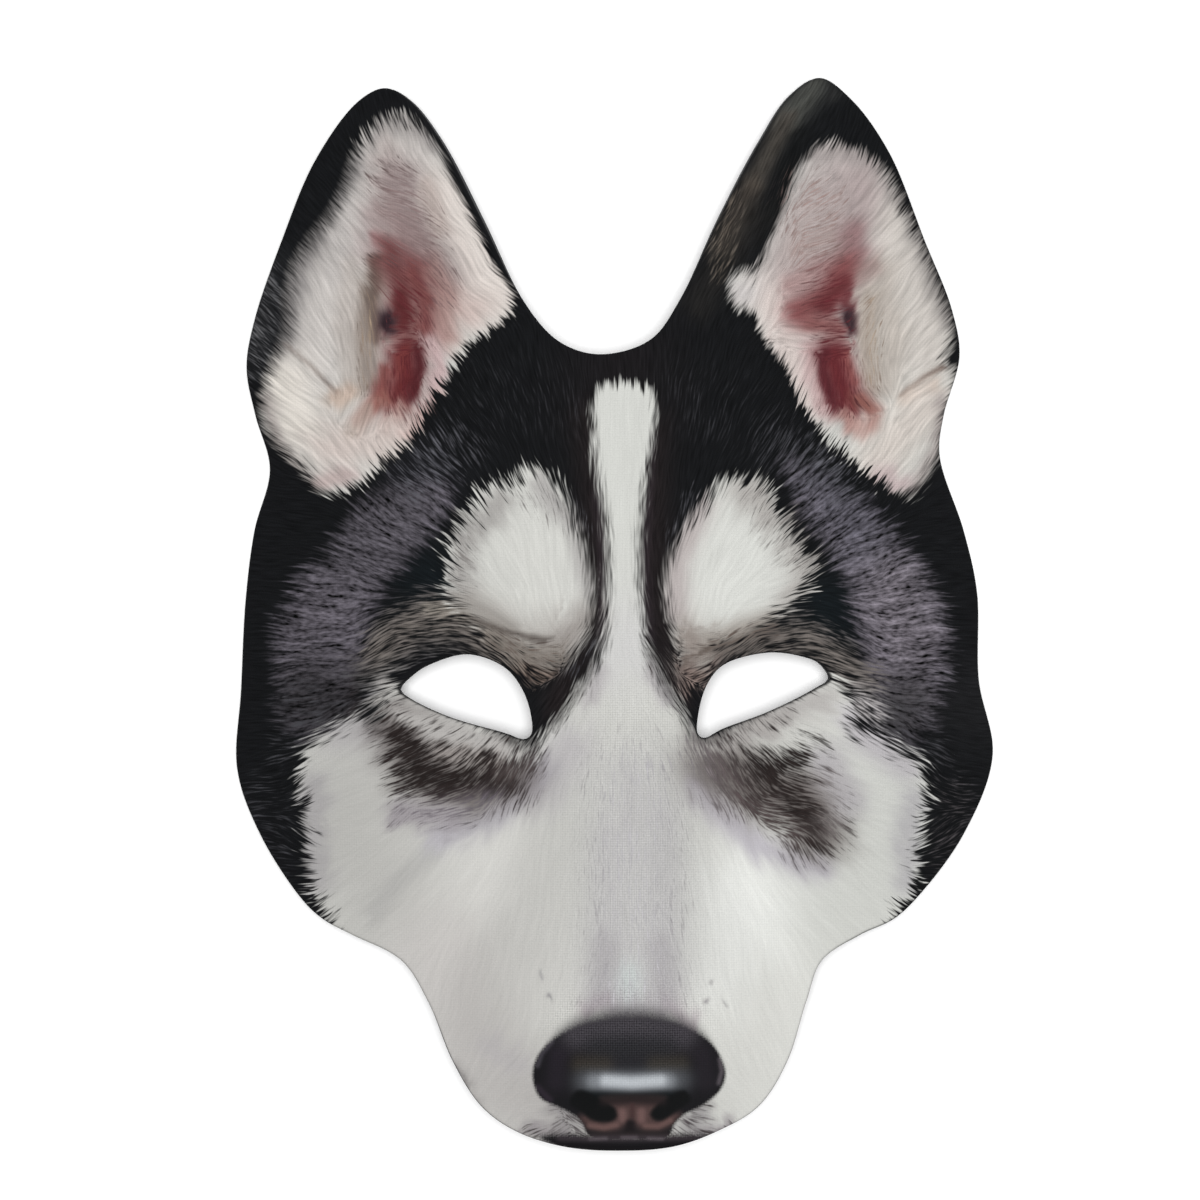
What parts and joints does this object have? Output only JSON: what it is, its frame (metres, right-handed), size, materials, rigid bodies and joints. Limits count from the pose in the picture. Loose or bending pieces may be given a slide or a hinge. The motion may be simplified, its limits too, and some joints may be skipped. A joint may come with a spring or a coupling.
{
  "type": "animal half mask",
  "caption": "Dog-faced half mask: a printed knit cover on a moulded foam shell with pointed ears, eye holes and a muzzle, and an elastic head band.",
  "frame": {"origin": "on the table under the middle of the mask, which lies on its back rim with the face up", "axes": "+X across the face to the viewer's right, +Y up the face towards the ears, +Z out of the face"},
  "size_m": [0.1847, 0.26, 0.0558],
  "materials": {
    "printed_knit": "husky fur print in black, grey, white and dull red on a fine polyester knit",
    "black_foam": "matt closed-cell foam, near black, with a raw cut edge",
    "black_elastic": "flat woven elastic, black"
  },
  "bodies": {
    "root": {"printed_cover": "printed_knit", "foam_shell": "black_foam", "elastic_band": "black_elastic", "band_patch_left": "black_foam", "band_patch_right": "black_foam"}
  },
  "joints": []
}
